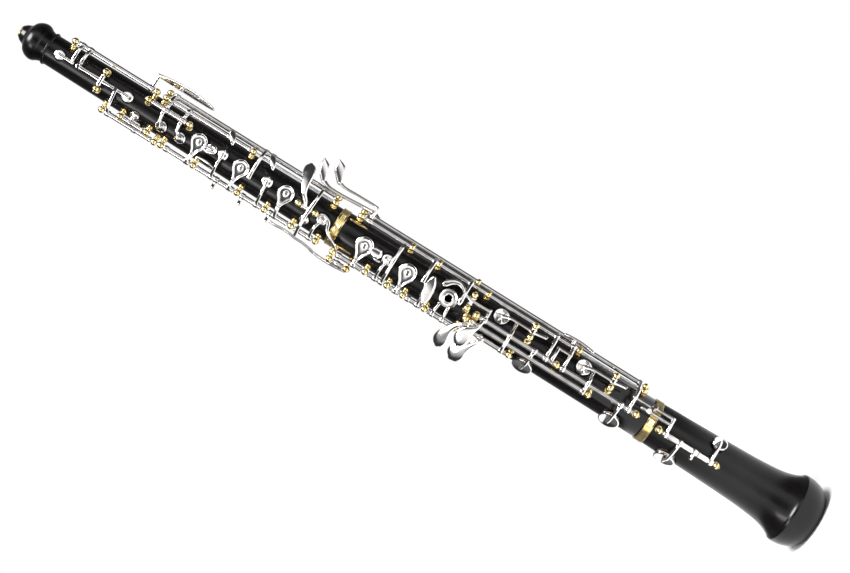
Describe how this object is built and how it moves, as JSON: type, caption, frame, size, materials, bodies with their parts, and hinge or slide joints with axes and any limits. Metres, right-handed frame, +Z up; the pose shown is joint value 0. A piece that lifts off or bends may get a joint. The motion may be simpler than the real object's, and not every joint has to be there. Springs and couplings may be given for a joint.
{
  "type": "oboe",
  "caption": "Oboe in three joints with a flared bell: tone holes, sprung silver keys on hinge rods between gold ball posts, octave and trill levers, and a thumb rest.",
  "frame": {"origin": "centre of the bell's open rim, on the bore's axis", "axes": "+Z up the bore towards the reed well; -Y the side of the tone holes and finger keys; +X the player's left-hand side"},
  "size_m": [0.0717, 0.0481, 0.596],
  "materials": {
    "grenadilla": "polished black grenadilla, satin to glossy",
    "silver_plate": "bright polished silver plate",
    "gold_plate": "bright polished gold plate",
    "cork": "matt natural cork"
  },
  "bodies": {
    "oboe_body": {"upper_joint": "grenadilla", "lower_joint": "grenadilla", "bell": "grenadilla", "reed_well_tube": "silver_plate", "upper_tenon_cork": "cork", "lower_tenon_cork": "cork", "lower_socket_ring": "gold_plate", "bell_socket_ring": "gold_plate", "thumb_rest": "gold_plate", "side_octave_posts": "gold_plate", "octave_rocker_posts": "gold_plate", "thumb_octave_posts": "gold_plate", "third_octave_posts": "gold_plate", "trill_vent_posts": "gold_plate", "trill_lever_posts": "gold_plate", "left_stack_posts": "gold_plate", "g_sharp_posts": "gold_plate", "left_lever_posts": "gold_plate", "right_stack_posts": "gold_plate", "banana_key_posts": "gold_plate", "front_lever_posts": "gold_plate", "e_flat_rocker_posts": "gold_plate", "c_sharp_rocker_posts": "gold_plate", "bell_key_posts": "gold_plate", "thumb_lever_posts": "gold_plate", "back_link_posts": "gold_plate"},
    "side_octave_key": {"side_octave_key": "silver_plate"},
    "octave_rocker": {"octave_rocker": "silver_plate"},
    "thumb_octave_key": {"thumb_octave_key": "silver_plate"},
    "third_octave_key": {"third_octave_key": "silver_plate"},
    "upper_trill_vent": {"upper_trill_vent": "silver_plate"},
    "lower_trill_vent": {"lower_trill_vent": "silver_plate"},
    "upper_trill_lever": {"upper_trill_lever": "silver_plate"},
    "lower_trill_lever": {"lower_trill_lever": "silver_plate"},
    "b_key": {"b_key": "silver_plate"},
    "c_vent_key": {"c_vent_key": "silver_plate"},
    "a_key": {"a_key": "silver_plate"},
    "b_flat_vent_key": {"b_flat_vent_key": "silver_plate"},
    "g_key": {"g_key": "silver_plate"},
    "bridge_key": {"bridge_key": "silver_plate"},
    "g_sharp_key": {"g_sharp_key": "silver_plate"},
    "low_b_flat_lever": {"low_b_flat_lever": "silver_plate"},
    "low_b_lever": {"low_b_lever": "silver_plate"},
    "f_sharp_key": {"f_sharp_key": "silver_plate"},
    "f_sharp_vent_key": {"f_sharp_vent_key": "silver_plate"},
    "e_key": {"e_key": "silver_plate"},
    "f_vent_key": {"f_vent_key": "silver_plate"},
    "d_key": {"d_key": "silver_plate"},
    "side_trill_touch": {"side_trill_touch": "silver_plate"},
    "banana_key": {"banana_key": "silver_plate"},
    "low_c_key": {"low_c_key": "silver_plate"},
    "c_sharp_key": {"c_sharp_key": "silver_plate"},
    "e_flat_key": {"e_flat_key": "silver_plate"},
    "e_flat_rocker": {"e_flat_rocker": "silver_plate"},
    "c_sharp_rocker": {"c_sharp_rocker": "silver_plate"},
    "low_b_key": {"low_b_key": "silver_plate"},
    "bell_key": {"bell_key": "silver_plate"},
    "bell_vent_key": {"bell_vent_key": "silver_plate"},
    "thumb_lever": {"thumb_lever": "silver_plate"},
    "back_link_lever": {"back_link_lever": "silver_plate"}
  },
  "joints": [
    {"name": "side_octave_key_hinge", "type": "hinge", "parent": "oboe_body", "child": "side_octave_key", "pos_m": [0.01272, -0.01067, 0.53], "axis": [0, 0, 1], "range_deg": [0, 8], "stiffness_Nm_per_rad": 0.15, "springref_deg": -11.46},
    {"name": "octave_rocker_hinge", "type": "hinge", "parent": "oboe_body", "child": "octave_rocker", "pos_m": [0, -0.0156, 0.5324], "axis": [1, 0, 0], "range_deg": [-6, 0], "stiffness_Nm_per_rad": 0.02, "springref_deg": 5.73},
    {"name": "thumb_octave_key_hinge", "type": "hinge", "parent": "oboe_body", "child": "thumb_octave_key", "pos_m": [-0.0156, -0.00568, 0.505], "axis": [0, 0, 1], "range_deg": [-5, 0], "stiffness_Nm_per_rad": 0.15, "springref_deg": 11.46},
    {"name": "third_octave_key_hinge", "type": "hinge", "parent": "oboe_body", "child": "third_octave_key", "pos_m": [-0.01294, -0.00941, 0.5], "axis": [0, 0, 1], "range_deg": [-6, 0], "stiffness_Nm_per_rad": 0.15, "springref_deg": 11.46},
    {"name": "upper_trill_vent_hinge", "type": "hinge", "parent": "oboe_body", "child": "upper_trill_vent", "pos_m": [0.00567, -0.01517, 0.4916], "axis": [0, 0, 1], "range_deg": [0, 8], "stiffness_Nm_per_rad": 0.02, "springref_deg": -5.73},
    {"name": "lower_trill_vent_hinge", "type": "hinge", "parent": "oboe_body", "child": "lower_trill_vent", "pos_m": [0.00567, -0.01517, 0.4788], "axis": [0, 0, 1], "range_deg": [0, 4], "stiffness_Nm_per_rad": 0.02, "springref_deg": -5.73},
    {"name": "upper_trill_lever_hinge", "type": "hinge", "parent": "oboe_body", "child": "upper_trill_lever", "pos_m": [0.01654, -0.00602, 0.43], "axis": [0, 0, 1], "range_deg": [-5, 0], "stiffness_Nm_per_rad": 0.15, "springref_deg": 11.46},
    {"name": "lower_trill_lever_hinge", "type": "hinge", "parent": "oboe_body", "child": "lower_trill_lever", "pos_m": [0.01272, -0.01067, 0.46], "axis": [0, 0, 1], "range_deg": [-6, 0], "stiffness_Nm_per_rad": 0.15, "springref_deg": 11.46},
    {"name": "b_key_hinge", "type": "hinge", "parent": "oboe_body", "child": "b_key", "pos_m": [-0.01501, -0.00798, 0.468], "axis": [0, 0, 1], "range_deg": [0, 7], "stiffness_Nm_per_rad": 0.15, "springref_deg": -11.46},
    {"name": "c_vent_key_hinge", "type": "hinge", "parent": "oboe_body", "child": "c_vent_key", "pos_m": [-0.01501, -0.00798, 0.445], "axis": [0, 0, 1], "range_deg": [0, 7], "stiffness_Nm_per_rad": 0.02, "springref_deg": -5.73},
    {"name": "a_key_hinge", "type": "hinge", "parent": "oboe_body", "child": "a_key", "pos_m": [-0.01501, -0.00798, 0.431], "axis": [0, 0, 1], "range_deg": [0, 7], "stiffness_Nm_per_rad": 0.15, "springref_deg": -11.46},
    {"name": "b_flat_vent_key_hinge", "type": "hinge", "parent": "oboe_body", "child": "b_flat_vent_key", "pos_m": [-0.01501, -0.00798, 0.413], "axis": [0, 0, 1], "range_deg": [0, 7], "stiffness_Nm_per_rad": 0.02, "springref_deg": -5.73},
    {"name": "g_key_hinge", "type": "hinge", "parent": "oboe_body", "child": "g_key", "pos_m": [-0.01501, -0.00798, 0.3926], "axis": [0, 0, 1], "range_deg": [0, 7], "stiffness_Nm_per_rad": 0.15, "springref_deg": -11.46},
    {"name": "bridge_key_hinge", "type": "hinge", "parent": "oboe_body", "child": "bridge_key", "pos_m": [-0.01501, -0.00798, 0.3735], "axis": [0, 0, 1], "range_deg": [0, 7], "stiffness_Nm_per_rad": 0.02, "springref_deg": -5.73},
    {"name": "g_sharp_key_hinge", "type": "hinge", "parent": "oboe_body", "child": "g_sharp_key", "pos_m": [0, -0.0174, 0.379], "axis": [0, 0, 1], "range_deg": [0, 7], "stiffness_Nm_per_rad": 0.15, "springref_deg": -11.46},
    {"name": "low_b_flat_lever_hinge", "type": "hinge", "parent": "oboe_body", "child": "low_b_flat_lever", "pos_m": [0.01741, -0.0037, 0.24], "axis": [0, 0, 1], "range_deg": [0, 6], "stiffness_Nm_per_rad": 0.15, "springref_deg": -11.46},
    {"name": "low_b_lever_hinge", "type": "hinge", "parent": "oboe_body", "child": "low_b_lever", "pos_m": [0.0142, -0.0082, 0.266], "axis": [0, 0, 1], "range_deg": [0, 8], "stiffness_Nm_per_rad": 0.15, "springref_deg": -11.46},
    {"name": "f_sharp_key_hinge", "type": "hinge", "parent": "oboe_body", "child": "f_sharp_key", "pos_m": [-0.01492, -0.01006, 0.339], "axis": [0, 0, 1], "range_deg": [0, 7], "stiffness_Nm_per_rad": 0.15, "springref_deg": -11.46},
    {"name": "f_sharp_vent_key_hinge", "type": "hinge", "parent": "oboe_body", "child": "f_sharp_vent_key", "pos_m": [-0.01492, -0.01006, 0.319], "axis": [0, 0, 1], "range_deg": [0, 7], "stiffness_Nm_per_rad": 0.02, "springref_deg": -5.73},
    {"name": "e_key_hinge", "type": "hinge", "parent": "oboe_body", "child": "e_key", "pos_m": [-0.01492, -0.01006, 0.3048], "axis": [0, 0, 1], "range_deg": [0, 7], "stiffness_Nm_per_rad": 0.15, "springref_deg": -11.46},
    {"name": "f_vent_key_hinge", "type": "hinge", "parent": "oboe_body", "child": "f_vent_key", "pos_m": [-0.01492, -0.01006, 0.2908], "axis": [0, 0, 1], "range_deg": [0, 7], "stiffness_Nm_per_rad": 0.02, "springref_deg": -5.73},
    {"name": "d_key_hinge", "type": "hinge", "parent": "oboe_body", "child": "d_key", "pos_m": [-0.01492, -0.01006, 0.271], "axis": [0, 0, 1], "range_deg": [0, 7], "stiffness_Nm_per_rad": 0.15, "springref_deg": -11.46},
    {"name": "side_trill_touch_hinge", "type": "hinge", "parent": "oboe_body", "child": "side_trill_touch", "pos_m": [-0.0198, -0.00531, 0.345], "axis": [0, 0, 1], "range_deg": [-6, 0], "stiffness_Nm_per_rad": 0.15, "springref_deg": 11.46},
    {"name": "banana_key_hinge", "type": "hinge", "parent": "oboe_body", "child": "banana_key", "pos_m": [0.00445, -0.01785, 0.26], "axis": [0.9703, 0.2419, 0], "range_deg": [-5, 0], "stiffness_Nm_per_rad": 0.15, "springref_deg": 11.46},
    {"name": "low_c_key_hinge", "type": "hinge", "parent": "oboe_body", "child": "low_c_key", "pos_m": [-0.00098, -0.01877, 0.2227], "axis": [0, 0, 1], "range_deg": [-6, 0], "stiffness_Nm_per_rad": 0.15, "springref_deg": 11.46},
    {"name": "c_sharp_key_hinge", "type": "hinge", "parent": "oboe_body", "child": "c_sharp_key", "pos_m": [-0.00636, -0.01748, 0.212], "axis": [0, 0, 1], "range_deg": [-6, 0], "stiffness_Nm_per_rad": 0.15, "springref_deg": 11.46},
    {"name": "e_flat_key_hinge", "type": "hinge", "parent": "oboe_body", "child": "e_flat_key", "pos_m": [-0.01145, -0.01466, 0.237], "axis": [0, 0, 1], "range_deg": [-5, 0], "stiffness_Nm_per_rad": 0.15, "springref_deg": 11.46},
    {"name": "e_flat_rocker_hinge", "type": "hinge", "parent": "oboe_body", "child": "e_flat_rocker", "pos_m": [0.00902, -0.01627, 0.2165], "axis": [0.8746, 0.4848, 0], "range_deg": [0, 8], "stiffness_Nm_per_rad": 0.02, "springref_deg": -5.73},
    {"name": "c_sharp_rocker_hinge", "type": "hinge", "parent": "oboe_body", "child": "c_sharp_rocker", "pos_m": [0.00902, -0.01627, 0.1567], "axis": [0.8746, 0.4848, 0], "range_deg": [0, 6], "stiffness_Nm_per_rad": 0.02, "springref_deg": -5.73},
    {"name": "low_b_key_hinge", "type": "hinge", "parent": "oboe_body", "child": "low_b_key", "pos_m": [-0.00098, -0.01877, 0.1635], "axis": [0, 0, 1], "range_deg": [-6, 0], "stiffness_Nm_per_rad": 0.02, "springref_deg": 5.73},
    {"name": "bell_key_hinge", "type": "hinge", "parent": "oboe_body", "child": "bell_key", "pos_m": [-0.00178, -0.02032, 0.1], "axis": [0, 0, 1], "range_deg": [-6, 0], "stiffness_Nm_per_rad": 0.02, "springref_deg": 5.73},
    {"name": "bell_vent_key_hinge", "type": "hinge", "parent": "oboe_body", "child": "bell_vent_key", "pos_m": [-0.00178, -0.02032, 0.0816], "axis": [0, 0, 1], "range_deg": [0, 6], "stiffness_Nm_per_rad": 0.02, "springref_deg": -5.73},
    {"name": "thumb_lever_hinge", "type": "hinge", "parent": "oboe_body", "child": "thumb_lever", "pos_m": [0, 0.0172, 0.3914], "axis": [-1, 0, 0], "range_deg": [-3, 0], "stiffness_Nm_per_rad": 0.15, "springref_deg": 11.46},
    {"name": "back_link_lever_hinge", "type": "hinge", "parent": "oboe_body", "child": "back_link_lever", "pos_m": [0.01047, 0.0134, 0.344], "axis": [0, 0, 1], "range_deg": [-6, 0], "stiffness_Nm_per_rad": 0.02, "springref_deg": 5.73}
  ],
  "couplings": [
    {"joint": "octave_rocker_hinge", "follows": "thumb_octave_key_hinge", "ratio": 1.2},
    {"joint": "upper_trill_vent_hinge", "follows": "upper_trill_lever_hinge", "ratio": -1.6},
    {"joint": "lower_trill_vent_hinge", "follows": "lower_trill_lever_hinge", "ratio": -0.64},
    {"joint": "c_vent_key_hinge", "follows": "a_key_hinge", "ratio": 1},
    {"joint": "b_flat_vent_key_hinge", "follows": "g_key_hinge", "ratio": 1},
    {"joint": "bridge_key_hinge", "follows": "f_sharp_key_hinge", "ratio": 1},
    {"joint": "f_sharp_vent_key_hinge", "follows": "e_key_hinge", "ratio": 1},
    {"joint": "f_vent_key_hinge", "follows": "d_key_hinge", "ratio": 1},
    {"joint": "c_sharp_rocker_hinge", "follows": "c_sharp_key_hinge", "ratio": -1},
    {"joint": "e_flat_rocker_hinge", "follows": "e_flat_key_hinge", "ratio": -1.6},
    {"joint": "low_b_key_hinge", "follows": "low_b_lever_hinge", "ratio": -0.75},
    {"joint": "bell_key_hinge", "follows": "low_b_flat_lever_hinge", "ratio": -1},
    {"joint": "bell_vent_key_hinge", "follows": "low_b_flat_lever_hinge", "ratio": 1},
    {"joint": "back_link_lever_hinge", "follows": "thumb_lever_hinge", "ratio": 2}
  ]
}
